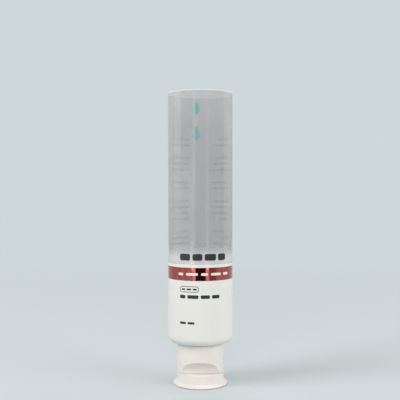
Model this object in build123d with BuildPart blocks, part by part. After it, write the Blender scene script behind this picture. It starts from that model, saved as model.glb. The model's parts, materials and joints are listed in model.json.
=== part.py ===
from build123d import *
import os
from math import cos, radians, sin, sqrt, tan

# Squeeze tube standing on its flip-top cap, open filling end up. Sizes in millimetres, angles in degrees.
# +Z is up along the axis, the origin is the middle of the foot, and the thumb scoop faces -Y.

# Sleeve: thin round tube, cut square at the open end and turned in at the shoulder
sleeve_diameter = 38.0
sleeve_wall = 0.45
sleeve_length = 141.85
turned_edge_radius = 4.3

# Metallic foil stamped round the sleeve, measured up from the turned-in edge
foil_thickness = 0.05
foil_height = 7.45
foil_rise = 33.5

# Head: shoulder and neck moulded to the turned-in end of the sleeve
shoulder_slope = 6.0
shoulder_wall = 1.3
weld_lip = 0.4
neck_root_diameter = 10.2
neck_bore = 7.6
neck_bevel = 0.4
thread_height = 0.4

# Cap base: drafted wall, deck, spout and threaded skirt
cap_diameter = 27.7
cap_height = 16.65
cap_draft = 1.2
cap_wall = 1.2
cap_edge_bevel = 0.2
shoulder_gap = 0.4
skirt_wall = 1.3
thread_clearance = 0.1
neck_seat_gap = 0.1
rib_count = 6
rib_thickness = 0.9
rib_height = 6.0

# Thumb scoop: part of a lying cylinder, cut into the front of the base down to the parting line
scoop_radius = 9.0
scoop_depth = 5.3
scoop_height = 7.3

# Dispensing spout on the deck
spout_diameter = 9.4
spout_tip_diameter = 8.8
spout_length = 3.6
spout_bevel = 0.5
orifice_diameter = 6.4

# Raised rim on the deck that the closed lid fits over
seal_rim_height = 0.6
seal_rim_wall = 0.9
seal_rim_clearance = 0.3

# Lid: wall, flared foot, plug and thumb ledge
lid_height = 7.55
lid_wall = 1.2
lid_floor = 1.3
parting_gap = 0.15
foot_overhang = 2.05
foot_edge = 1.6
flare_height = 0.7
plug_wall = 0.8
plug_clearance = 0.1
plug_taper = 0.3
plug_engagement = 1.0
ledge_thickness = 1.2
ledge_lap = 0.8

# Living hinge at the back: a strap on the base, one on the lid, and the thin web across them
hinge_width = 12.0
hinge_stand_off = 0.55
strap_height = 1.8
strap_bevel = 0.5
web_thickness = 0.35
web_reach = 1.5

# How far a cut runs past the face it leaves by
cut_overrun = 1.0

# Heights, from the foot up
deck_z = lid_height + parting_gap
deck_top_z = deck_z + cap_wall
cap_top_z = deck_z + cap_height
spout_end_z = deck_z - spout_length

# Radii
sleeve_radius = sleeve_diameter / 2
sleeve_bore_radius = sleeve_radius - sleeve_wall
cap_radius = cap_diameter / 2
cap_top_radius = cap_radius - cap_height * tan(radians(cap_draft))
neck_root_radius = neck_root_diameter / 2
skirt_bore_radius = neck_root_radius + thread_height + thread_clearance
skirt_radius = skirt_bore_radius + skirt_wall
orifice_radius = orifice_diameter / 2
lid_bore_radius = cap_radius - lid_wall


def shoulder_z(radius):
    """Height of the shoulder's outer face at a radius."""
    return cap_top_z + shoulder_gap + (radius - cap_top_radius) * tan(radians(shoulder_slope))


# The turned-in edge is an arc that meets the sloping shoulder in a tangent
edge_turn = 90 - shoulder_slope
edge_centre_radius = sleeve_radius - turned_edge_radius
edge_end_radius = edge_centre_radius + turned_edge_radius * sin(radians(shoulder_slope))
edge_z = shoulder_z(edge_end_radius) + turned_edge_radius * cos(radians(shoulder_slope))
edge_centre = (edge_centre_radius, edge_z)
sleeve_top_z = edge_z + sleeve_length


def edge_point(radius):
    """End of an arc of this radius round the turned-in edge's centre, where the shoulder begins."""
    across = edge_centre_radius + radius * sin(radians(shoulder_slope))
    return (across, edge_z - radius * cos(radians(shoulder_slope)))


lap_radius = turned_edge_radius - sleeve_wall
shoulder_inner_arc = lap_radius - shoulder_wall

with BuildPart() as tube_sleeve:
    with BuildSketch(Plane.XZ):
        with BuildLine():
            Line((sleeve_radius, sleeve_top_z), (sleeve_radius, edge_z))
            CenterArc(edge_centre, turned_edge_radius, 0, -edge_turn)
            Line(edge_point(turned_edge_radius), edge_point(lap_radius))
            CenterArc(edge_centre, lap_radius, 0, -edge_turn)
            Line((sleeve_bore_radius, edge_z), (sleeve_bore_radius, sleeve_top_z))
            Line((sleeve_bore_radius, sleeve_top_z), (sleeve_radius, sleeve_top_z))
        make_face()
    revolve(axis=Axis.Z)
tube_sleeve.part.label = "tube_sleeve"

with BuildPart() as foil_band:
    with BuildSketch(Plane.XY.offset(edge_z + foil_rise)):
        Circle(sleeve_radius + foil_thickness)
        Circle(sleeve_radius, mode=Mode.SUBTRACT)
    extrude(amount=foil_height)
foil_band.part.label = "foil_band"

neck_end_z = deck_top_z + neck_seat_gap
neck_bore_radius = neck_bore / 2
shoulder_rise = shoulder_wall / cos(radians(shoulder_slope))

shoulder_rim = (sleeve_bore_radius - weld_lip, edge_z)

with BuildPart() as tube_head:
    with BuildSketch(Plane.XZ):
        with BuildLine():
            # Thin rim in the sleeve's turned-in edge, then the outer face down to the neck's end
            Line(shoulder_rim, (sleeve_bore_radius, edge_z))
            CenterArc(edge_centre, lap_radius, 0, -edge_turn)
            Polyline(
                edge_point(lap_radius),
                edge_point(turned_edge_radius),
                (neck_root_radius, shoulder_z(neck_root_radius)),
                (neck_root_radius, neck_end_z + neck_bevel),
                (neck_root_radius - neck_bevel, neck_end_z),
                (neck_bore_radius, neck_end_z),
                (neck_bore_radius, shoulder_z(neck_bore_radius) + shoulder_rise),
                edge_point(shoulder_inner_arc),
                shoulder_rim,
            )
        make_face()
    revolve(axis=Axis.Z)
tube_head.part.label = "tube_head"

# The scoop's arc starts on the deck face, scoop_depth inside the wall, and ends scoop_height up on the wall
scoop_foot_y = scoop_depth - cap_radius
scoop_run = scoop_depth - scoop_height * tan(radians(cap_draft))
scoop_chord = sqrt(scoop_run**2 + scoop_height**2)
scoop_centre_drop = sqrt(scoop_radius**2 - (scoop_chord / 2) ** 2)
scoop_centre = (
    scoop_foot_y - scoop_run / 2 - scoop_centre_drop * scoop_height / scoop_chord,
    deck_z + scoop_height / 2 - scoop_centre_drop * scoop_run / scoop_chord,
)

# Space between the cap's wall and its threaded skirt, which leaves the wall behind the scoop standing
skirt_top_z = shoulder_z(skirt_radius) - shoulder_gap
cap_bore_at_deck = cap_radius - cap_wall - cap_wall * tan(radians(cap_draft))
cap_bore_at_top = cap_top_radius - cap_wall - cut_overrun * tan(radians(cap_draft))
with BuildPart() as cap_hollow:
    with BuildSketch(Plane.XZ):
        with BuildLine():
            Polyline(
                (skirt_radius, deck_top_z),
                (cap_bore_at_deck, deck_top_z),
                (cap_bore_at_top, cap_top_z + cut_overrun),
                (0, cap_top_z + cut_overrun),
                (0, skirt_top_z),
                (skirt_radius, skirt_top_z),
                close=True,
            )
        make_face()
    revolve(axis=Axis.Z)
    with BuildSketch(Plane.YZ):
        with Locations(scoop_centre):
            Circle(scoop_radius + cap_wall)
    extrude(amount=cap_radius, both=True, mode=Mode.SUBTRACT)

ledge_y = scoop_foot_y + ledge_lap
seal_rim_radius = lid_bore_radius - seal_rim_clearance
strap_back = cap_radius + hinge_stand_off
strap_root_radius = cap_radius - cap_wall / 2

with BuildPart() as cap_base:
    # Wall and spout as one solid form
    with BuildSketch(Plane.XZ):
        with BuildLine():
            Polyline(
                (0, spout_end_z),
                (spout_tip_diameter / 2 - spout_bevel, spout_end_z),
                (spout_tip_diameter / 2, spout_end_z + spout_bevel),
                (spout_diameter / 2, deck_z),
                (cap_radius - cap_edge_bevel, deck_z),
                (cap_radius, deck_z + cap_edge_bevel),
                (cap_top_radius, cap_top_z - cap_edge_bevel),
                (cap_top_radius - cap_edge_bevel, cap_top_z),
                (0, cap_top_z),
                close=True,
            )
        make_face()
    revolve(axis=Axis.Z)
    add(cap_hollow.part, mode=Mode.SUBTRACT)
    # Stiffening ribs between the skirt and the wall
    rib_inner = skirt_radius - skirt_wall / 2
    rib_outer = cap_top_radius - cap_wall / 2
    with BuildSketch(Plane.XY.offset(deck_top_z)):
        with PolarLocations((rib_inner + rib_outer) / 2, rib_count):
            Rectangle(rib_outer - rib_inner, rib_thickness)
    extrude(amount=rib_height)
    # Thumb scoop
    with BuildSketch(Plane.YZ):
        with Locations(scoop_centre):
            Circle(scoop_radius)
    extrude(amount=cap_radius, both=True, mode=Mode.SUBTRACT)
    # Rim round the deck, open in front where the lid's ledge lies
    with BuildSketch(Plane.XY.offset(deck_z)):
        Circle(seal_rim_radius)
        Circle(seal_rim_radius - seal_rim_wall, mode=Mode.SUBTRACT)
        with Locations((0, ledge_y + seal_rim_clearance - cap_radius / 2)):
            Rectangle(cap_diameter, cap_radius, mode=Mode.SUBTRACT)
    extrude(amount=-seal_rim_height)
    # Strap that carries the hinge web
    with BuildSketch(Plane.XY.offset(deck_z)):
        with Locations((0, strap_back / 2)):
            Rectangle(hinge_width, strap_back)
        Circle(strap_root_radius, mode=Mode.SUBTRACT)
    extrude(amount=strap_height)
    strap_faces = cap_base.faces().filter_by(Axis.Y).sort_by(Axis.Y)
    chamfer(strap_faces[-1].edges().sort_by(Axis.Z)[-1], strap_bevel)
    # Way through for the contents, and the bore that takes the threaded neck
    with BuildSketch(Plane.XY.offset(deck_top_z)):
        Circle(skirt_bore_radius)
    extrude(amount=cap_height, mode=Mode.SUBTRACT)
    with BuildSketch(Plane.XY.offset(spout_end_z - cut_overrun)):
        Circle(orifice_radius)
    extrude(amount=spout_length + cap_wall + 2 * cut_overrun, mode=Mode.SUBTRACT)
cap_base.part.label = "cap_base"

# Lid
foot_radius = cap_radius + foot_overhang
foot_nose = foot_edge / 2
flare_top_z = foot_edge + flare_height
flare_top_radius = cap_radius + (lid_height - flare_top_z) * tan(radians(cap_draft))
flare_centre = (foot_radius - foot_nose, flare_top_z)
flare_width = foot_radius - foot_nose - flare_top_radius
plug_radius = orifice_radius - plug_clearance
plug_bore_radius = plug_radius - plug_taper - plug_wall
plug_end_z = spout_end_z + plug_engagement

with BuildPart() as flip_lid:
    # Wall, floor and flared foot
    with BuildSketch(Plane.XZ):
        with BuildLine():
            Line((0, 0), (foot_radius - foot_nose, 0))
            CenterArc((foot_radius - foot_nose, foot_nose), foot_nose, -90, 180)
            EllipticalCenterArc(flare_centre, flare_width, flare_height, start_angle=180, arc_size=90)
            Polyline(
                (flare_top_radius, flare_top_z),
                (cap_radius, lid_height - cap_edge_bevel),
                (cap_radius - cap_edge_bevel, lid_height),
                (lid_bore_radius, lid_height),
                (lid_bore_radius, lid_floor),
                (0, lid_floor),
                (0, 0),
            )
        make_face()
    revolve(axis=Axis.Z)
    # Hollow plug that closes the spout
    with BuildSketch(Plane.XZ):
        with BuildLine():
            Polyline(
                (plug_bore_radius, lid_floor),
                (plug_radius, lid_floor),
                (plug_radius, spout_end_z),
                (plug_radius - plug_taper, plug_end_z),
                (plug_bore_radius, plug_end_z),
                close=True,
            )
        make_face()
    revolve(axis=Axis.Z)
    # Ledge under the thumb scoop
    with BuildSketch(Plane.XY.offset(lid_height - ledge_thickness)):
        Circle(cap_radius - lid_wall / 2)
        with Locations((0, ledge_y - cap_radius / 2)):
            Rectangle(cap_diameter, cap_radius, mode=Mode.INTERSECT)
    extrude(amount=ledge_thickness)
    # Strap that carries the hinge web
    with BuildSketch(Plane.XY.offset(lid_height)):
        with Locations((0, strap_back / 2)):
            Rectangle(hinge_width, strap_back)
        Circle(strap_root_radius, mode=Mode.SUBTRACT)
    extrude(amount=-strap_height)
    strap_faces = flip_lid.faces().filter_by(Axis.Y).sort_by(Axis.Y)
    chamfer(strap_faces[-1].edges().sort_by(Axis.Z)[0], strap_bevel)
flip_lid.part.label = "flip_lid"

# Thin web on the back of both straps, centred on the parting line
with BuildPart() as hinge_web:
    with BuildSketch(Plane.XZ.offset(-strap_back)):
        with Locations((0, lid_height + parting_gap / 2)):
            Rectangle(hinge_width, 2 * web_reach)
    extrude(amount=-web_thickness)
hinge_web.part.label = "hinge_web"

os.makedirs("parts", exist_ok=True)
export_step(tube_sleeve.part, "parts/tube_sleeve.step")
export_step(foil_band.part, "parts/foil_band.step")
export_step(tube_head.part, "parts/tube_head.step")
export_step(cap_base.part, "parts/cap_base.step")
export_step(flip_lid.part, "parts/flip_lid.step")
export_step(hinge_web.part, "parts/hinge_web.step")
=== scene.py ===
import json
from math import cos, hypot, pi, radians, sin, tau

import bmesh
import bpy
from bpy.props import FloatProperty, FloatVectorProperty, PointerProperty
from bpy.types import Operator, Panel, PropertyGroup
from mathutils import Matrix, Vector


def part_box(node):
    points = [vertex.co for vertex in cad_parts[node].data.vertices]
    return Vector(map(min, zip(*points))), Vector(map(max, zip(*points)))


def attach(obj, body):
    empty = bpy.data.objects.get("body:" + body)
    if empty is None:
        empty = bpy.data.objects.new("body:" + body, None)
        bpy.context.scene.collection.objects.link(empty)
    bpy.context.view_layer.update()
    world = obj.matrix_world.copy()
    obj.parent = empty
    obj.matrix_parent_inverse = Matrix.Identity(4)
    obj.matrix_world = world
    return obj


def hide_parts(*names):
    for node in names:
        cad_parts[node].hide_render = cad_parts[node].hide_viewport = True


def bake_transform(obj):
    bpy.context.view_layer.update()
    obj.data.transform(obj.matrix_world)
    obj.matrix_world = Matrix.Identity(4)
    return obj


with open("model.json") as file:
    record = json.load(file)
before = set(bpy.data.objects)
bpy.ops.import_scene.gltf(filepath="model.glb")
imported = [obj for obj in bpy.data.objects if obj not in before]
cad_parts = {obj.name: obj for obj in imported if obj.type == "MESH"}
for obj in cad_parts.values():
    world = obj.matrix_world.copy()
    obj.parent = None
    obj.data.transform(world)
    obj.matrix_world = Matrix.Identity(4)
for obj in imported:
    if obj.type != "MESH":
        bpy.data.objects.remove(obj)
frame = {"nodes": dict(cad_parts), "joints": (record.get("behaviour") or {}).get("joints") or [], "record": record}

bl_info = {
    "name": "Squeeze tube dresser",
    "version": (1, 0, 0),
    "blender": (4, 5, 0),
    "location": "View3D > Sidebar > Tube",
    "description": "Dresses the packed squeeze tube: frosted sleeve, print, foil, neck, cap and studio",
    "category": "Object",
}

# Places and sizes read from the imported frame, in metres
MM = 0.001
NODES = frame["nodes"]
SLEEVE_LOW, SLEEVE_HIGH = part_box("tube_sleeve")
FOIL_LOW, FOIL_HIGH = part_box("foil_band")
WEB_LOW, WEB_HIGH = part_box("hinge_web")
WEB_HEIGHT = WEB_HIGH.z - WEB_LOW.z
NECK_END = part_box("tube_head")[0].z
BORES = {mount["name"]: mount["dims"] for mount in frame["record"]["mounts"]}
SLEEVE_BORE_RADIUS = BORES["sleeve_bore"]["r_mm"] * MM
SLEEVE_STRAIGHT = BORES["sleeve_bore"]["length_mm"] * MM
HINGE_PLACE = Vector(next(j["pos_m"] for j in frame["joints"] if j["name"] == "lid_hinge"))
NECK_RADIUS = max(hypot(v.co.x, v.co.y) for v in NODES["tube_head"].data.vertices
                  if v.co.z < NECK_END + MM)

# Fineness of the meshes: faces round the tube, steps of the turned-in edge, sections in a turn of the
# thread, faces of the hinge web, the widest flat step of a wrapped mark, the distance at which points of
# a mark are joined, and the least angle of a sharp edge
AROUND = 192
EDGE_STEPS = 18
THREAD_STEPS = 72
WEB_ROWS, WEB_COLUMNS = 28, 6
WRAP_STEP = 0.6 * MM
WELD_DISTANCE = 0.001 * MM
SHARP_ANGLE = radians(35)

# Height of each printed layer above the sleeve: where it starts and where it ends
INK_LAYER = (0.006 * MM, 0.018 * MM)
FOIL_LAYER = (0.020 * MM, 0.036 * MM)
PRINT_LAYER = (0.020 * MM, 0.030 * MM)
FOIL_PRINT_LAYER = (0.038 * MM, 0.048 * MM)

# Lengths of the bars as shares of their line
TITLE_BAR_SHARES = (0.23, 0.20, 0.24, 0.19)
BAND_BAR_SHARES = (0.10, 0.22, 0.12, 0.20, 0.12)
PILL_BAR_SHARES = (0.24, 0.30, 0.26)
SUBTITLE_BAR_SHARES = (0.15, 0.27, 0.22, 0.20)
FOOTER_BAR_SHARES = (0.44, 0.44)

# Lines of each block on the back, from the lowest block up, and the bars and the gap of its lines in turn,
# as shares of the longest line
BACK_BLOCK_LINES = (3, 4, 2, 3, 2)
BACK_BAR_SHARES = ((0.30, 0.40, 0.20), (0.22, 0.28, 0.34), (0.42, 0.22), (0.18, 0.36, 0.30))
BACK_GAP_SHARE = 0.05

# Rounding of a bar's corners and space inside the pill, as shares of their heights
BAR_CORNER_SHARE = 0.3
PILL_INSET_SHARE = 0.36

# Drops: how many, how sharply they narrow, and where their paler side ends, from their middle,
# as a share of half their width
DROP_COUNT = 2
DROP_NARROWING = 1.5
DROP_SHADE_SHARE = 0.4

# Thread: sunk part as a share of its height, crest as a share of its root, and run-out as a share of a turn
THREAD_SUNK_SHARE = 0.1
THREAD_CREST_SHARE = 0.4
THREAD_RUNOUT_SHARE = 1 / 6

# Hinge web: half of its groove and half of its bend, as shares of its height
WEB_GROOVE_SHARE = 0.22

# Refractive indices
POLYETHYLENE_IOR = 1.51
POLYPROPYLENE_IOR = 1.49
INK_IOR = 1.48

# Patterns of the materials, as drawn: their sizes, and how many times longer they are along the tube
DIE_LINE_SPACING, DIE_LINE_STRETCH = 2.5 * MM, 50
WALL_CLOUD_SIZE = 12 * MM
INK_GRAIN_SIZE = 0.5 * MM
FOIL_RIPPLE_SPACING, FOIL_RIPPLE_STRETCH = 1.6 * MM, 25
COOLING_PATCH_SIZE = 5 * MM
HEAD_GRAIN_SIZE = 0.6 * MM
CAP_GRAIN_SIZE = 0.5 * MM
PAPER_MOTTLE_SIZE = 3 * MM

# How much rougher or smoother than the rest the patches of a moulding are
PATCH_ROUGHNESS = 0.05

# Sockets of the Mix node when it mixes colours
MIX_A, MIX_B, MIX_RESULT = 6, 7, 2

# Half the side of the floor, and the distances over which it runs into the background
FLOOR_REACH = 5.0
COVE_START, COVE_END = 0.15, 0.8

# Soft lamps: name, place, width and height, radiance, and whether glossy surfaces mirror it
LAMP_AIM = (0, 0, 0.085)
LAMPS = (
    ("key", (-0.95, -0.45, 0.85), (0.6, 0.6), 7.4, False),
    ("overhead", (0.1, -0.15, 1.3), (0.9, 0.7), 0.8, True),
    ("front_fill", (-0.15, -1.10, 0.45), (0.7, 0.7), 2.15, False),
    ("right_fill", (1.00, -0.52, 0.45), (0.9, 0.7), 3.0, False),
    ("right_rim", (0.90, 0.38, 0.50), (0.4, 0.6), 2.0, False),
    ("back_fill", (-0.15, 1.00, 0.80), (0.8, 0.7), 1.8, False),
)

# Cards that only glossy surfaces mirror: name, place, width, low and high edge, tint and strength.
# A low dark gap in front lies between two bright strips, which glow more towards their feet.
# Bright sides make the sleeve's edges shine.
MIRROR_CARDS = (
    ("front_flag", (0.003, -0.38), 0.228, 0.001, 0.080, "#3a2c2c", 1.0),
    ("side_flag", (0.3365, -0.3545), 0.2164, 0.001, 0.090, "#a2968f", 1.0),
    ("left_strip", (-0.183, -0.464), 0.085, 0.001, 0.60, "#ffffff", 1.45),
    ("right_strip", (0.209, -0.454), 0.075, 0.001, 0.60, "#ffffff", 1.2),
    ("left_low_strip", (-0.225, -0.440), 0.055, 0.020, 0.070, "#ffffff", 8.2),
    ("right_low_strip", (0.205, -0.446), 0.055, 0.020, 0.060, "#ffffff", 5.5),
    ("left_wash", (-0.470, -0.373), 0.54, 0.040, 0.250, "#ffffff", 1.7),
    ("left_side", (-0.60, 0.0), 0.34, 0.035, 0.425, "#ffffff", 2.1),
    ("left_edge", (-0.50, 0.33), 0.52, 0.060, 0.660, "#ffffff", 1.25),
    ("right_side", (0.571, 0.185), 0.34, 0.035, 0.425, "#ffffff", 1.45),
    ("right_edge", (0.46, 0.386), 0.16, 0.060, 0.660, "#ffffff", 1.25),
)


def linear(hex_colour):
    """An sRGB hex value as linear red, green, blue and alpha."""
    channels = [int(hex_colour[i:i + 2], 16) / 255 for i in (1, 3, 5)]
    lit = [c / 12.92 if c <= 0.04045 else ((c + 0.055) / 1.055) ** 2.4 for c in channels]
    return (*lit, 1.0)


def length(name, description, default):
    """A size in metres for a property group."""
    return FloatProperty(name=name, description=description, default=default,
                         unit="LENGTH", subtype="DISTANCE", precision=6)


def colour(name, description, hex_colour):
    """A colour, given as an sRGB hex value, for a property group."""
    return FloatVectorProperty(name=name, description=description, default=linear(hex_colour),
                               subtype="COLOR", size=4, min=0, max=1)


def share(name, description, default):
    """A number from 0 to 1 for a property group."""
    return FloatProperty(name=name, description=description, default=default,
                         subtype="FACTOR", min=0, max=1)


class SleeveSettings(PropertyGroup):
    """Frosted sleeve."""
    radius: length("Radius", "Outer radius of the straight part", SLEEVE_HIGH.x)
    wall: length("Wall", "Thickness of the sleeve", SLEEVE_HIGH.x - SLEEVE_BORE_RADIUS)
    top: length("Top", "Height of the open end", SLEEVE_HIGH.z)
    edge: length("Edge", "Height where the turned-in edge begins", SLEEVE_HIGH.z - SLEEVE_STRAIGHT)
    slope: FloatProperty(name="Slope", description="Slope of the shoulder that the edge runs into",
                         default=radians(6), unit="ROTATION", subtype="ANGLE")
    lip_round: length("Lip rounding", "Rounding of the cut end", 0.14 * MM)
    tint: colour("Tint", "Milky wall", "#b5b4b4")
    # Painted light: paler tint of the wall just above the white print, in place of the light the print throws up
    # it
    painted_glow_tint: colour("Low tint", "Paler wall just above the white print", "#f4f3f1")
    fade: length("Fade", "Height over which the paler wall fades out", 11 * MM)
    # Painted highlight: near-white tint of the cut end, and the distances below the open end where the painted
    # highlight starts and is brightest
    cut_painted_highlight: colour("Cut tint", "Bright cut end", "#f7f8f9")
    cut_start: length("Cut start", "Distance below the open end where it starts to brighten", 0.7 * MM)
    cut_full: length("Cut full", "Distance below the open end where it is brightest", 0.2 * MM)
    clearness: share("Clearness", "Share of the light that passes through the wall", 0.55)
    haze: share("Haze", "Roughness of the surface", 0.18)


class PrintSettings(PropertyGroup):
    """Inks on the sleeve. Places along a line are measured round it from the middle of the front."""
    white_top: length("White top", "Height of the white field's upper edge", 71.9 * MM)
    left: length("Left", "Where the front lines begin", -12.4 * MM)
    title_bottom: length("Title", "Height of the title line", 74.2 * MM)
    title_height: length("Title height", "Height of the title's bars", 3.8 * MM)
    title_width: length("Title width", "Length of the title line", 28.4 * MM)
    band_left: length("Band left", "Where the line on the foil begins", -13.4 * MM)
    band_width: length("Band width", "Length of the line on the foil", 31.6 * MM)
    band_height: length("Band height", "Height of the bars on the foil", 1.45 * MM)
    pill_bottom: length("Pill", "Height of the outlined pill's lower edge", 56.1 * MM)
    pill_height: length("Pill height", "Height of the outlined pill", 3.5 * MM)
    pill_width: length("Pill width", "Length of the outlined pill", 11.7 * MM)
    pill_stroke: length("Pill stroke", "Thickness of the pill's outline", 0.34 * MM)
    subtitle_bottom: length("Subtitle", "Height of the second line", 52.6 * MM)
    subtitle_height: length("Subtitle height", "Height of the second line's bars", 2.0 * MM)
    subtitle_width: length("Subtitle width", "Length of the second line", 24.0 * MM)
    footer_bottom: length("Footer", "Height of the lowest line", 38.0 * MM)
    footer_height: length("Footer height", "Height of the lowest line's bars", 1.3 * MM)
    footer_width: length("Footer width", "Length of the lowest line", 9.0 * MM)
    drop_place: length("Drop place", "Middle of the drops", -2.3 * MM)
    drop_width: length("Drop width", "Width of a drop", 3.0 * MM)
    drop_height: length("Drop height", "Height of a drop", 7.6 * MM)
    drop_low: length("Lower drop", "Height of the lower drop's round end", 142.7 * MM)
    drop_spacing: length("Drop spacing", "Distance between the two drops", 14.2 * MM)
    back_left: length("Back left", "Near end of a back line, from the middle of the back", 7.2 * MM)
    back_width: length("Back width", "Length of the longest back line", 13.0 * MM)
    back_height: length("Back height", "Height of a back line's bars", 1.2 * MM)
    back_low: length("Back low", "Height of the lowest back line", 81.0 * MM)
    back_spacing: length("Back spacing", "Distance between back lines", 3.6 * MM)
    back_block_gap: length("Back block gap", "Added distance between blocks of lines", 4.2 * MM)
    white: colour("White", "White field", "#e9e6e0")
    black: colour("Black", "Title and lines", "#232426")
    pale: colour("Pale", "Line on the foil", "#f3e3de")
    grey: colour("Grey", "Lines on the back", "#626367")
    teal: colour("Teal", "Drops", "#63a3a2")
    teal_pale: colour("Pale teal", "Paler side of the drops", "#93b6b6")


class FoilSettings(PropertyGroup):
    """Metallic band."""
    copper: colour("Copper", "Colour of the foil", "#b65b52")
    roughness: share("Roughness", "Roughness of the foil", 0.06)


class NeckSettings(PropertyGroup):
    """Head and threaded neck."""
    pitch: length("Pitch", "Rise of the thread in one turn", 3.0 * MM)
    turns: FloatProperty(name="Turns", description="Turns of the thread", default=2.75, min=0.5)
    start: length("Start", "Distance of the thread from the neck's end", 2.2 * MM)
    height: length("Height", "How far the thread stands out", 0.4 * MM)
    width: length("Width", "Width of the thread at its root", 1.3 * MM)
    tint: colour("Tint", "Uncoloured moulded plastic", "#dcdcda")
    roughness: share("Roughness", "Roughness of the head", 0.42)


class CapSettings(PropertyGroup):
    """Cap, lid and their hinge."""
    white: colour("White", "White of the cap", "#ebe4dd")
    roughness: share("Roughness", "Roughness of the cap", 0.34)
    hinge_thin: share("Hinge groove", "Share of the web's thickness taken by its groove", 0.5)


class StageSettings(PropertyGroup):
    """Floor, light and camera."""
    floor: colour("Floor", "Floor", "#c8d0d2")
    bounce: colour("Bounce", "Duller floor that throws light back at the tube", "#b0bbbd")
    sky: colour("Background", "What the camera and reflections see beyond the floor", "#ced7da")
    ambient: FloatProperty(name="Ambient", description="Strength of the soft light from all round",
                           default=0.39, min=0)
    distance: length("Camera distance", "From the tube's axis to the camera", 425 * MM)
    height: length("Camera height", "Height of the camera", 113.2 * MM)
    side: length("Camera side", "Sideways place of the camera", -0.18 * MM)
    tilt: FloatProperty(name="Camera tilt", description="Tilt below the level", default=radians(0.66),
                        unit="ROTATION", subtype="ANGLE")
    lens: FloatProperty(name="Lens", description="Focal length in millimetres", default=64.8, min=1)
    sensor: FloatProperty(name="Sensor", description="Sensor width in millimetres", default=36, min=1)


def add_node(tree, kind, settings=None, values=None, links=None):
    """Adds a node, sets its own settings and its inputs' values, and links its inputs."""
    node = tree.nodes.new(kind)
    for name, value in (settings or {}).items():
        setattr(node, name, value)
    for name, value in (values or {}).items():
        node.inputs[name].default_value = value
    for name, socket in (links or {}).items():
        tree.links.new(socket, node.inputs[name])
    return node


def new_material(name):
    """An empty node material and its tree."""
    material = bpy.data.materials.new(name)
    material.use_nodes = True
    material.node_tree.nodes.clear()
    return material, material.node_tree


def finish_material(tree, shader, output="BSDF"):
    """Puts a shader on the surface."""
    add_node(tree, "ShaderNodeOutputMaterial", links={"Surface": shader.outputs[output]})


def frosted_polyethylene_extruded(sleeve, white_top):
    """Uncoloured polyethylene drawn through a die: a milky wall that lets what lies behind show through,
    with faint lines along it and a soft gloss. A glow above the white print and a highlight on the cut end are
    painted into its colour."""
    material, tree = new_material("frosted_polyethylene_extruded")
    place = add_node(tree, "ShaderNodeTexCoord").outputs["Object"]
    height = add_node(tree, "ShaderNodeSeparateXYZ", links={"Vector": place}).outputs["Z"]
    # Painted light: the wall just above the white print is painted paler, fading out upwards, in place of the
    # light that the print throws up it
    glow = add_node(tree, "ShaderNodeMapRange", {"interpolation_type": "SMOOTHSTEP"},
                    {"From Min": white_top, "From Max": white_top + sleeve.fade, "To Min": 1, "To Max": 0},
                    {"Value": height}).outputs["Result"]
    body = add_node(tree, "ShaderNodeMix", {"data_type": "RGBA"},
                    {MIX_A: sleeve.tint, MIX_B: sleeve.painted_glow_tint}, {0: glow}).outputs[MIX_RESULT]
    # Painted highlight: the cut end is painted brighter, in place of the light that runs along the wall and
    # gathers there
    cut = add_node(tree, "ShaderNodeMapRange", {"interpolation_type": "SMOOTHSTEP"},
                   {"From Min": sleeve.top - sleeve.cut_start, "From Max": sleeve.top - sleeve.cut_full,
                    "To Min": 0, "To Max": 1}, {"Value": height}).outputs["Result"]
    body = add_node(tree, "ShaderNodeMix", {"data_type": "RGBA"}, {MIX_B: sleeve.cut_painted_highlight},
                    {0: cut, MIX_A: body}).outputs[MIX_RESULT]
    # Lines from the die, drawn out along the tube. They are near 0.5 mm apart, too fine to show,
    # so they are drawn at 2.5 mm
    drawn = add_node(tree, "ShaderNodeMapping", values={"Scale": (1, 1, 1 / DIE_LINE_STRETCH)},
                     links={"Vector": place})
    lines = add_node(tree, "ShaderNodeTexNoise", values={"Scale": 1 / DIE_LINE_SPACING, "Detail": 0},
                     links={"Vector": drawn.outputs["Vector"]}).outputs["Fac"]
    # Cloudy thick and thin places, about 12 mm across
    cloud = add_node(tree, "ShaderNodeTexNoise", values={"Scale": 1 / WALL_CLOUD_SIZE, "Detail": 1},
                     links={"Vector": place}).outputs["Fac"]
    # The lines count half as much as the clouds
    streak = add_node(tree, "ShaderNodeMath", {"operation": "MULTIPLY_ADD"}, {1: 0.5},
                      {0: lines, 2: cloud}).outputs["Value"]
    tone = add_node(tree, "ShaderNodeMapRange",
                    values={"From Min": 0.4, "From Max": 1.1, "To Min": 0.95, "To Max": 1.04},
                    links={"Value": streak}).outputs["Result"]
    base = add_node(tree, "ShaderNodeVectorMath", {"operation": "SCALE"}, links={0: body, "Scale": tone})
    bump = add_node(tree, "ShaderNodeBump", values={"Strength": 0.22, "Distance": 0.02 * MM},
                    links={"Height": streak})
    # Alpha thins the gloss along with the wall, so the specular level is raised to make up for it
    shader = add_node(tree, "ShaderNodeBsdfPrincipled",
                      values={"Roughness": sleeve.haze, "IOR": POLYETHYLENE_IOR,
                              "Alpha": 1 - sleeve.clearness, "Specular IOR Level": 1},
                      links={"Base Color": base.outputs["Vector"], "Normal": bump.outputs["Normal"]})
    finish_material(tree, shader)
    return material


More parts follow.
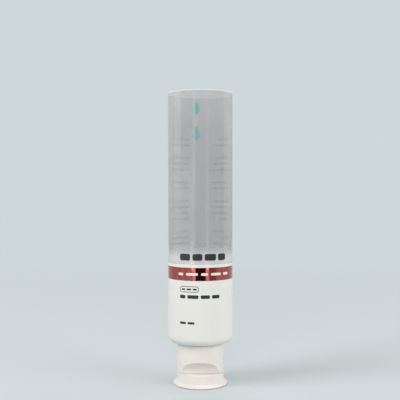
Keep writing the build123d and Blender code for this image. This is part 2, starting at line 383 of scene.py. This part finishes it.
def screen_ink(name, tint, roughness, second=None, across=None):
    """Screen-printed ink: an opaque satin film with a faint grain from the mesh of the screen.
    A second colour, if given, comes in from the side over the stretch across."""
    material, tree = new_material(name)
    place = add_node(tree, "ShaderNodeTexCoord").outputs["Object"]
    # The screen's mesh is near 0.1 mm, too fine to show, so the grain is drawn at 0.5 mm
    grain = add_node(tree, "ShaderNodeTexNoise", values={"Scale": 1 / INK_GRAIN_SIZE, "Detail": 2},
                     links={"Vector": place}).outputs["Fac"]
    tone = add_node(tree, "ShaderNodeMapRange",
                    values={"From Min": 0.3, "From Max": 0.7, "To Min": 0.975, "To Max": 1.015},
                    links={"Value": grain}).outputs["Result"]
    base = add_node(tree, "ShaderNodeVectorMath", {"operation": "SCALE"}, {0: tint[:3]}, {"Scale": tone})
    if second:
        side = add_node(tree, "ShaderNodeSeparateXYZ", links={"Vector": place}).outputs["X"]
        mix = add_node(tree, "ShaderNodeMapRange", {"interpolation_type": "SMOOTHSTEP"},
                       {"From Min": across[0], "From Max": across[1], "To Min": 0, "To Max": 1},
                       {"Value": side}).outputs["Result"]
        body = add_node(tree, "ShaderNodeMix", {"data_type": "RGBA"}, {MIX_A: second, MIX_B: tint},
                        {0: mix}).outputs[MIX_RESULT]
        tree.links.new(body, base.inputs[0])
    bump = add_node(tree, "ShaderNodeBump", values={"Strength": 0.15, "Distance": 0.01 * MM},
                    links={"Height": grain})
    shader = add_node(tree, "ShaderNodeBsdfPrincipled",
                      values={"Roughness": roughness, "IOR": INK_IOR},
                      links={"Base Color": base.outputs["Vector"], "Normal": bump.outputs["Normal"]})
    finish_material(tree, shader)
    return material


def copper_foil_hot_stamped(foil):
    """Metallised film pressed on hot: a near mirror under clear lacquer, with faint upright ripples
    from the sleeve below."""
    material, tree = new_material("copper_foil_hot_stamped")
    place = add_node(tree, "ShaderNodeTexCoord").outputs["Object"]
    # Upright ripples, about 1.6 mm apart and drawn out along the tube
    drawn = add_node(tree, "ShaderNodeMapping", values={"Scale": (1, 1, 1 / FOIL_RIPPLE_STRETCH)},
                     links={"Vector": place})
    ripple = add_node(tree, "ShaderNodeTexNoise", values={"Scale": 1 / FOIL_RIPPLE_SPACING, "Detail": 3},
                      links={"Vector": drawn.outputs["Vector"]}).outputs["Fac"]
    tone = add_node(tree, "ShaderNodeMapRange",
                    values={"From Min": 0.35, "From Max": 0.65, "To Min": 0.79, "To Max": 1.19},
                    links={"Value": ripple}).outputs["Result"]
    base = add_node(tree, "ShaderNodeVectorMath", {"operation": "SCALE"}, {0: foil.copper[:3]},
                    {"Scale": tone})
    bump = add_node(tree, "ShaderNodeBump", values={"Strength": 0.5, "Distance": 0.03 * MM},
                    links={"Height": ripple})
    shader = add_node(tree, "ShaderNodeBsdfPrincipled",
                      values={"Metallic": 1, "Roughness": foil.roughness, "Coat Weight": 0.4,
                              "Coat Roughness": 0.04},
                      links={"Base Color": base.outputs["Vector"], "Normal": bump.outputs["Normal"]})
    finish_material(tree, shader)
    return material


def moulded_plastic(name, tint, roughness, ior, glow, grain_size):
    """Injection-moulded plastic: an even satin skin with the mould's fine grain, which looks
    a little lit from within."""
    material, tree = new_material(name)
    place = add_node(tree, "ShaderNodeTexCoord").outputs["Object"]
    # The mould's own grain is near 0.05 mm, too fine to show, so it is drawn at grain_size
    grain = add_node(tree, "ShaderNodeTexNoise", values={"Scale": 1 / grain_size, "Detail": 3},
                     links={"Vector": place}).outputs["Fac"]
    # Cooling leaves slightly duller patches, about 5 mm across
    patch = add_node(tree, "ShaderNodeTexNoise", values={"Scale": 1 / COOLING_PATCH_SIZE, "Detail": 2},
                     links={"Vector": place}).outputs["Fac"]
    tone = add_node(tree, "ShaderNodeMapRange",
                    values={"From Min": 0.3, "From Max": 0.7, "To Min": 0.98, "To Max": 1.01},
                    links={"Value": patch}).outputs["Result"]
    base = add_node(tree, "ShaderNodeVectorMath", {"operation": "SCALE"}, {0: tint[:3]}, {"Scale": tone})
    dull = add_node(tree, "ShaderNodeMapRange",
                    values={"From Min": 0.3, "From Max": 0.7, "To Min": roughness - PATCH_ROUGHNESS,
                            "To Max": roughness + PATCH_ROUGHNESS},
                    links={"Value": patch}).outputs["Result"]
    bump = add_node(tree, "ShaderNodeBump", values={"Strength": 0.12, "Distance": 0.02 * MM},
                    links={"Height": grain})
    shader = add_node(tree, "ShaderNodeBsdfPrincipled",
                      values={"IOR": ior, "Subsurface Weight": glow, "Subsurface Scale": 1.2 * MM,
                              "Subsurface Radius": (1.0, 0.9, 0.8)},
                      links={"Base Color": base.outputs["Vector"], "Roughness": dull,
                             "Normal": bump.outputs["Normal"]})
    finish_material(tree, shader)
    return material


def make_piece(name, bm, material):
    """Turns a bmesh into an object with one material, smooth but for its sharp edges."""
    bmesh.ops.recalc_face_normals(bm, faces=bm.faces)
    mesh = bpy.data.meshes.new(name)
    bm.to_mesh(mesh)
    bm.free()
    mesh.shade_smooth()
    mesh.set_sharp_from_angle(angle=SHARP_ANGLE)
    mesh.materials.append(material)
    piece = bpy.data.objects.new(name, mesh)
    bpy.context.scene.collection.objects.link(piece)
    return piece


def dress_node(node, material):
    """Gives a CAD node's object a material."""
    mesh = NODES[node].data
    mesh.materials.clear()
    mesh.materials.append(material)


def revolved(profile):
    """A closed ring swept from a closed profile of radius and height, starting at the front."""
    bm = bmesh.new()
    rings = []
    for step in range(AROUND):
        turn = tau * step / AROUND
        rings.append([bm.verts.new((r * sin(turn), -r * cos(turn), z)) for r, z in profile])
    for ring, after in zip(rings, rings[1:] + rings[:1]):
        for i in range(len(profile)):
            bm.faces.new((ring[i - 1], ring[i], after[i], after[i - 1]))
    return bm


def edge_arc(sleeve, lift):
    """Points of radius and height down the turned-in edge, lifted off the sleeve's outer face by lift."""
    turned = (sleeve.edge - SLEEVE_LOW.z) / cos(sleeve.slope)
    centre = sleeve.radius - turned
    stop = pi / 2 - sleeve.slope
    points = []
    for step in range(EDGE_STEPS + 1):
        turn = stop * step / EDGE_STEPS
        points.append((centre + (turned + lift) * cos(turn), sleeve.edge - (turned + lift) * sin(turn)))
    return points


def quarter(centre, radius, start, steps=3):
    """Points of a quarter turn, counter-clockwise in radius and height."""
    return [(centre[0] + radius * cos(start + pi / 2 * i / steps),
             centre[1] + radius * sin(start + pi / 2 * i / steps)) for i in range(steps + 1)]


def wrapped_plates(name, outlines, base_radius, layer, material, middle=0.0):
    """Flat outlines of distance round the sleeve and height, laid round it as thin closed plates.
    The distance runs to the right from the front, or from middle, an angle round the tube."""
    bm = bmesh.new()
    for outline in outlines:
        bm.faces.new([bm.verts.new((along, 0, z)) for along, z in outline])
    bmesh.ops.remove_doubles(bm, verts=bm.verts, dist=WELD_DISTANCE)
    reach = max(abs(v.co.x) for v in bm.verts)
    steps = int(reach / WRAP_STEP) + 1
    for step in range(-steps, steps + 1):
        bmesh.ops.bisect_plane(bm, geom=bm.verts[:] + bm.edges[:] + bm.faces[:],
                               plane_co=(step * WRAP_STEP, 0, 0), plane_no=(1, 0, 0))
    raised = bmesh.ops.extrude_face_region(bm, geom=bm.faces[:], use_keep_orig=True)
    top = {v for v in raised["geom"] if isinstance(v, bmesh.types.BMVert)}
    for v in bm.verts:
        radius = base_radius + (layer[1] if v in top else layer[0])
        turn = middle + v.co.x / base_radius
        v.co = (radius * sin(turn), -radius * cos(turn), v.co.z)
    return make_piece(name, bm, material)


def bar(left, bottom, width, height, corner=None, steps=5):
    """Outline of a bar with rounded ends, or with rounded corners if a corner radius is given."""
    r = corner or height / 2
    right, top = left + width, bottom + height
    outline = []
    for cx, cz, start in ((right - r, top - r, 0), (left + r, top - r, pi / 2),
                          (left + r, bottom + r, pi), (right - r, bottom + r, 3 * pi / 2)):
        outline += quarter((cx, cz), r, start, steps)
    return outline


def bar_line(left, bottom, width, height, bar_shares):
    """Outlines of bars of the given shares of a line, spread evenly over it."""
    gap = width * (1 - sum(bar_shares)) / max(len(bar_shares) - 1, 1)
    bars = []
    for bar_share in bar_shares:
        bars.append(bar(left, bottom, width * bar_share, height, corner=height * BAR_CORNER_SHARE))
        left += width * bar_share + gap
    return bars


def pill_ring(left, bottom, width, height, stroke, steps=6):
    """Four-sided outlines that make up the outline of a pill."""
    outer = bar(left, bottom, width, height, steps=steps)
    inner = bar(left + stroke, bottom + stroke, width - 2 * stroke, height - 2 * stroke, steps=steps)
    return [(outer[i - 1], outer[i], inner[i], inner[i - 1]) for i in range(len(outer))
            if outer[i - 1] != outer[i]]


def drop(middle, bottom, width, height, steps=40):
    """Outline of a drop with a point above and a round end below."""
    turns = [tau * step / steps for step in range(steps)]
    widths = [sin(t) * sin(t / 2) ** DROP_NARROWING for t in turns]
    widest = max(widths)
    return [(middle + width / 2 * w / widest, bottom + height * (1 + cos(t)) / 2)
            for w, t in zip(widths, turns)]


class TUBE_OT_sleeve(Operator):
    """Makes the frosted sleeve in place of its CAD solid"""
    bl_idname = "tube.sleeve"
    bl_label = "Frosted sleeve"

    def execute(self, context):
        sleeve = context.scene.tube_sleeve
        lip, outer, inner = sleeve.lip_round, sleeve.radius, sleeve.radius - sleeve.wall
        profile = quarter((inner + lip, sleeve.top - lip), lip, pi / 2)[::-1]
        profile += quarter((outer - lip, sleeve.top - lip), lip, 0)[::-1]
        profile += edge_arc(sleeve, 0)
        profile += edge_arc(sleeve, -sleeve.wall)[::-1]
        material = frosted_polyethylene_extruded(sleeve, context.scene.tube_print.white_top)
        piece = make_piece("frosted_sleeve", revolved(profile), material)
        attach(piece, "tube")
        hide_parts("tube_sleeve")
        return {"FINISHED"}


class TUBE_OT_white_field(Operator):
    """Lays the white ink over the lower sleeve and round its turned-in edge"""
    bl_idname = "tube.white_field"
    bl_label = "White field"

    def execute(self, context):
        sleeve, inks = context.scene.tube_sleeve, context.scene.tube_print
        low, high = INK_LAYER
        profile = [(sleeve.radius + high, inks.white_top)] + edge_arc(sleeve, high)
        profile += edge_arc(sleeve, low)[::-1] + [(sleeve.radius + low, inks.white_top)]
        white = screen_ink("white_screen_ink", inks.white, roughness=0.42)
        piece = make_piece("white_field", revolved(profile), white)
        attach(piece, "tube")
        return {"FINISHED"}


class TUBE_OT_foil(Operator):
    """Makes the stamped foil band in place of its CAD solid"""
    bl_idname = "tube.foil"
    bl_label = "Foil band"

    def execute(self, context):
        radius = context.scene.tube_sleeve.radius
        low, high = (radius + level for level in FOIL_LAYER)
        profile = [(low, FOIL_LOW.z), (high, FOIL_LOW.z), (high, FOIL_HIGH.z), (low, FOIL_HIGH.z)]
        material = copper_foil_hot_stamped(context.scene.tube_foil)
        piece = make_piece("foil_stamp", revolved(profile), material)
        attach(piece, "tube")
        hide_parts("foil_band")
        return {"FINISHED"}


class TUBE_OT_front_print(Operator):
    """Prints lines of plain bars, an outlined pill and the drops on the front"""
    bl_idname = "tube.front_print"
    bl_label = "Front print"

    def execute(self, context):
        radius, inks = context.scene.tube_sleeve.radius, context.scene.tube_print
        title = bar_line(inks.left, inks.title_bottom, inks.title_width, inks.title_height,
                         TITLE_BAR_SHARES)
        lines = bar_line(inks.left, inks.subtitle_bottom, inks.subtitle_width, inks.subtitle_height,
                         SUBTITLE_BAR_SHARES)
        lines += bar_line(inks.left, inks.footer_bottom, inks.footer_width, inks.footer_height,
                          FOOTER_BAR_SHARES)
        inset = inks.pill_height * PILL_INSET_SHARE
        pill = pill_ring(inks.left, inks.pill_bottom, inks.pill_width, inks.pill_height, inks.pill_stroke)
        pill += bar_line(inks.left + inset, inks.pill_bottom + inset, inks.pill_width - 2 * inset,
                         inks.pill_height - 2 * inset, PILL_BAR_SHARES)
        band = bar_line(inks.band_left, (FOIL_LOW.z + FOIL_HIGH.z - inks.band_height) / 2,
                        inks.band_width, inks.band_height, BAND_BAR_SHARES)
        drops = [drop(inks.drop_place, inks.drop_low + step * inks.drop_spacing, inks.drop_width,
                      inks.drop_height) for step in range(DROP_COUNT)]
        black = screen_ink("black_screen_ink", inks.black, roughness=0.38)
        pale = screen_ink("pale_screen_ink", inks.pale, roughness=0.4)
        half = inks.drop_width / 2
        shade = (inks.drop_place - half, inks.drop_place + half * DROP_SHADE_SHARE)
        teal = screen_ink("teal_screen_ink", inks.teal, roughness=0.38, second=inks.teal_pale, across=shade)
        for name, outlines, layer, ink in (
            ("title_print", title, PRINT_LAYER, black),
            ("line_print", lines, PRINT_LAYER, black),
            ("pill_print", pill, PRINT_LAYER, black),
            ("band_print", band, FOIL_PRINT_LAYER, pale),
            ("drop_print", drops, PRINT_LAYER, teal),
        ):
            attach(wrapped_plates(name, outlines, radius, layer, ink), "tube")
        return {"FINISHED"}


class TUBE_OT_back_print(Operator):
    """Prints two columns of plain bars on the back, which show faintly through the sleeve"""
    bl_idname = "tube.back_print"
    bl_label = "Back print"

    def execute(self, context):
        radius, inks = context.scene.tube_sleeve.radius, context.scene.tube_print
        bars = []
        for column, left in enumerate((inks.back_left, -inks.back_left - inks.back_width)):
            bottom = inks.back_low
            for block, lines in enumerate(BACK_BLOCK_LINES):
                for line in range(lines):
                    bar_shares = BACK_BAR_SHARES[(column + block + line) % len(BACK_BAR_SHARES)]
                    reach = sum(bar_shares) + BACK_GAP_SHARE * (len(bar_shares) - 1)
                    bars += bar_line(left, bottom, inks.back_width * reach, inks.back_height,
                                     [bar_share / reach for bar_share in bar_shares])
                    bottom += inks.back_spacing
                bottom += inks.back_block_gap
        grey = screen_ink("grey_screen_ink", inks.grey, roughness=0.4)
        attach(wrapped_plates("back_print", bars, radius, PRINT_LAYER, grey, middle=pi), "tube")
        return {"FINISHED"}


def thread_coil(neck):
    """The neck's thread: a coil of four-sided sections that runs out to nothing at both ends."""
    steps = int(neck.turns * THREAD_STEPS)
    root = NECK_RADIUS - THREAD_SUNK_SHARE * neck.height
    half = neck.width / 2
    crest_half = half * THREAD_CREST_SHARE
    bm = bmesh.new()
    sections = []
    for step in range(steps + 1):
        turn = tau * neck.turns * step / steps
        middle = NECK_END + neck.start + neck.pitch * neck.turns * step / steps
        runout = min(1.0, min(step, steps - step) / (THREAD_STEPS * THREAD_RUNOUT_SHARE))
        crest = NECK_RADIUS + neck.height * runout
        section = [(root, -half), (crest, -crest_half), (crest, crest_half), (root, half)]
        sections.append([bm.verts.new((r * sin(turn), -r * cos(turn), middle + dz)) for r, dz in section])
    for before, after in zip(sections, sections[1:]):
        for i in range(len(before)):
            bm.faces.new((before[i - 1], before[i], after[i], after[i - 1]))
    bm.faces.new(sections[0])
    bm.faces.new(sections[-1][::-1])
    return bm


class TUBE_OT_neck(Operator):
    """Gives the moulded head its finish and the thread on its neck"""
    bl_idname = "tube.neck"
    bl_label = "Head and neck thread"

    def execute(self, context):
        neck = context.scene.tube_neck
        material = moulded_plastic("natural_polyethylene_moulded", neck.tint, neck.roughness,
                                   POLYETHYLENE_IOR, glow=0.25, grain_size=HEAD_GRAIN_SIZE)
        dress_node("tube_head", material)
        piece = make_piece("neck_thread", thread_coil(neck), material)
        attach(piece, "tube")
        return {"FINISHED"}


def grooved_web(groove_share):
    """The hinge web: a thin closed sheet with a groove on its inner face, where it bends."""
    bm = bmesh.new()
    sheets = []
    for grooved in (False, True):
        sheet = []
        for i in range(WEB_ROWS + 1):
            z = WEB_LOW.z + WEB_HEIGHT * i / WEB_ROWS
            off = (z - HINGE_PLACE.z) / (WEB_GROOVE_SHARE * WEB_HEIGHT)
            groove = groove_share * (WEB_HIGH.y - WEB_LOW.y) * max(0.0, 1 - off * off)
            y = WEB_LOW.y + groove if grooved else WEB_HIGH.y
            sheet.append([bm.verts.new((WEB_LOW.x + (WEB_HIGH.x - WEB_LOW.x) * j / WEB_COLUMNS, y, z))
                          for j in range(WEB_COLUMNS + 1)])
        sheets.append(sheet)
    outside, inside = sheets
    for sheet in sheets:
        for low, high in zip(sheet, sheet[1:]):
            for j in range(WEB_COLUMNS):
                bm.faces.new((low[j], low[j + 1], high[j + 1], high[j]))
    for i in range(WEB_ROWS):
        for j in (0, WEB_COLUMNS):
            bm.faces.new((outside[i][j], outside[i + 1][j], inside[i + 1][j], inside[i][j]))
    for i in (0, WEB_ROWS):
        for j in range(WEB_COLUMNS):
            bm.faces.new((outside[i][j], outside[i][j + 1], inside[i][j + 1], inside[i][j]))
    return bm


class TUBE_OT_cap(Operator):
    """Gives the cap base and its lid their moulded white finish, and makes the thin web between them"""
    bl_idname = "tube.cap"
    bl_label = "Cap, lid and hinge"

    def execute(self, context):
        cap = context.scene.tube_cap
        white = moulded_plastic("white_polypropylene_moulded", cap.white, cap.roughness,
                                POLYPROPYLENE_IOR, glow=0.12, grain_size=CAP_GRAIN_SIZE)
        dress_node("cap_base", white)
        dress_node("flip_lid", white)
        piece = make_piece("hinge_strip", grooved_web(cap.hinge_thin), white)
        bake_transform(piece)
        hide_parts("hinge_web")
        return {"FINISHED"}


def background_rays(tree):
    """A socket that is 1 for rays that show the background: from the camera, gloss and clear plastic."""
    path = add_node(tree, "ShaderNodeLightPath").outputs
    seen = add_node(tree, "ShaderNodeMath", {"operation": "ADD"},
                    links={0: path["Is Camera Ray"], 1: path["Is Glossy Ray"]}).outputs["Value"]
    return add_node(tree, "ShaderNodeMath", {"operation": "ADD", "use_clamp": True},
                    links={0: seen, 1: path["Is Transmission Ray"]}).outputs["Value"]


def studio_paper(stage):
    """Seamless matt paper, which runs into the background far from the tube, as a cove does."""
    material, tree = new_material("studio_paper")
    place = add_node(tree, "ShaderNodeTexCoord").outputs["Object"]
    # The paper's fibres are too fine to show, so its faint mottle is drawn at 3 mm
    fibre = add_node(tree, "ShaderNodeTexNoise", values={"Scale": 1 / PAPER_MOTTLE_SIZE, "Detail": 2},
                     links={"Vector": place}).outputs["Fac"]
    tone = add_node(tree, "ShaderNodeMapRange", values={"To Min": 0.985, "To Max": 1.015},
                    links={"Value": fibre}).outputs["Result"]
    # A duller paper than the one that shows lights the tube from below, so its undersides stay dark
    shows = background_rays(tree)
    tint = add_node(tree, "ShaderNodeMix", {"data_type": "RGBA"},
                    {MIX_A: stage.bounce, MIX_B: stage.floor}, {0: shows}).outputs[MIX_RESULT]
    base = add_node(tree, "ShaderNodeVectorMath", {"operation": "SCALE"}, links={0: tint, "Scale": tone})
    sheet = add_node(tree, "ShaderNodeBsdfPrincipled", values={"Roughness": 0.8},
                     links={"Base Color": base.outputs["Vector"]})
    away = add_node(tree, "ShaderNodeVectorMath", {"operation": "LENGTH"}, links={0: place})
    far = add_node(tree, "ShaderNodeMapRange", {"interpolation_type": "SMOOTHSTEP"},
                   {"From Min": COVE_START, "From Max": COVE_END}, {"Value": away.outputs["Value"]})
    seen = add_node(tree, "ShaderNodeMath", {"operation": "MULTIPLY"},
                    links={0: far.outputs["Result"], 1: shows})
    cove = add_node(tree, "ShaderNodeEmission", values={"Color": stage.sky, "Strength": 1})
    mix = add_node(tree, "ShaderNodeMixShader", links={
        0: seen.outputs["Value"], 1: sheet.outputs["BSDF"], 2: cove.outputs["Emission"]})
    finish_material(tree, mix, "Shader")
    return material


def studio_world(stage):
    """Soft ambient light, and a pale background for the camera, gloss and see-through surfaces."""
    world = bpy.data.worlds.new("studio")
    world.use_nodes = True
    tree = world.node_tree
    tree.nodes.clear()
    soft = add_node(tree, "ShaderNodeBackground",
                    values={"Color": (1, 1, 1, 1), "Strength": stage.ambient})
    pale = add_node(tree, "ShaderNodeBackground", values={"Color": stage.sky, "Strength": 1})
    mix = add_node(tree, "ShaderNodeMixShader", links={
        0: background_rays(tree), 1: soft.outputs["Background"], 2: pale.outputs["Background"]})
    add_node(tree, "ShaderNodeOutputWorld", links={"Surface": mix.outputs["Shader"]})
    return world


def flat_card(name, corners, material):
    """A flat stage card with the given corners."""
    bm = bmesh.new()
    bm.faces.new([bm.verts.new(corner) for corner in corners])
    card = make_piece(name, bm, material)
    return card


def mirror_card(name, place, width, low, high, tint, strength):
    """An upright card that faces the tube's axis, glows with its tint and shows only in glossy surfaces."""
    glowing, tree = new_material(name + "_cloth")
    glowing.cycles.emission_sampling = "NONE"
    glow = add_node(tree, "ShaderNodeEmission", values={"Color": linear(tint), "Strength": strength})
    finish_material(tree, glow, "Emission")
    x, y = place
    across = width / 2 / hypot(x, y)
    left, right = (x + y * across, y - x * across), (x - y * across, y + x * across)
    card = flat_card(name, ((*left, low), (*right, low), (*right, high), (*left, high)), glowing)
    card.visible_camera = False
    card.visible_diffuse = False
    card.visible_transmission = False
    card.visible_shadow = False


def softbox(name, place, size, radiance, mirrored):
    """A rectangular lamp that faces the tube. It shows in glossy surfaces if mirrored."""
    lamp = bpy.data.lights.new(name, "AREA")
    lamp.shape = "RECTANGLE"
    lamp.size, lamp.size_y = size
    lamp.energy = radiance * pi * size[0] * size[1]
    box = bpy.data.objects.new(name, lamp)
    box.location = place
    box.rotation_euler = (Vector(LAMP_AIM) - Vector(place)).to_track_quat("-Z", "Y").to_euler()
    box.visible_camera = False
    box.visible_glossy = mirrored
    bpy.context.scene.collection.objects.link(box)


def place_camera(scene, stage):
    """Puts the camera in front of the tube, at the height and distance of the settings."""
    camera = bpy.data.cameras.new("camera")
    camera.lens, camera.sensor_width = stage.lens, stage.sensor
    camera.clip_start = 10 * MM
    eye = bpy.data.objects.new("camera", camera)
    eye.location = (stage.side, -stage.distance, stage.height)
    eye.rotation_euler = (pi / 2 - stage.tilt, 0, 0)
    scene.collection.objects.link(eye)
    scene.camera = eye


class TUBE_OT_stage(Operator):
    """Sets up the floor, the soft studio light and the camera"""
    bl_idname = "tube.stage"
    bl_label = "Stage"

    def execute(self, context):
        scene, stage = context.scene, context.scene.tube_stage
        scene.view_settings.view_transform = "Standard"
        half = FLOOR_REACH
        corners = ((-half, -half, 0), (half, -half, 0), (half, half, 0), (-half, half, 0))
        flat_card("floor", corners, studio_paper(stage))
        for card in MIRROR_CARDS:
            mirror_card(*card)
        scene.world = studio_world(stage)
        for lamp in LAMPS:
            softbox(*lamp)
        place_camera(scene, stage)
        return {"FINISHED"}


OPERATORS = (TUBE_OT_sleeve, TUBE_OT_white_field, TUBE_OT_foil, TUBE_OT_front_print, TUBE_OT_back_print,
             TUBE_OT_neck, TUBE_OT_cap, TUBE_OT_stage)
SETTINGS = {"tube_sleeve": SleeveSettings, "tube_print": PrintSettings, "tube_foil": FoilSettings,
            "tube_neck": NeckSettings, "tube_cap": CapSettings, "tube_stage": StageSettings}


class TUBE_PT_panel(Panel):
    """Lists the tube's pieces and their settings"""
    bl_idname = "TUBE_PT_panel"
    bl_label = "Squeeze tube"
    bl_space_type = "VIEW_3D"
    bl_region_type = "UI"
    bl_category = "Tube"

    def draw(self, context):
        for operator in OPERATORS:
            self.layout.operator(operator.bl_idname)
        for name in SETTINGS:
            group = getattr(context.scene, name)
            column = self.layout.column(heading=name)
            for field in group.bl_rna.properties:
                if field.identifier not in ("name", "rna_type"):
                    column.prop(group, field.identifier)


def register():
    for name, group in SETTINGS.items():
        bpy.utils.register_class(group)
        setattr(bpy.types.Scene, name, PointerProperty(type=group))
    for operator in OPERATORS:
        bpy.utils.register_class(operator)
    bpy.utils.register_class(TUBE_PT_panel)


def unregister():
    bpy.utils.unregister_class(TUBE_PT_panel)
    for operator in reversed(OPERATORS):
        bpy.utils.unregister_class(operator)
    for name, group in SETTINGS.items():
        delattr(bpy.types.Scene, name)
        bpy.utils.unregister_class(group)


def main():
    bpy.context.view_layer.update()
    register()
    bpy.ops.tube.sleeve()
    bpy.ops.tube.white_field()
    bpy.ops.tube.foil()
    bpy.ops.tube.front_print()
    bpy.ops.tube.back_print()
    bpy.ops.tube.neck()
    bpy.ops.tube.cap()
    bpy.ops.tube.stage()


if __name__ == "__main__":
    main()
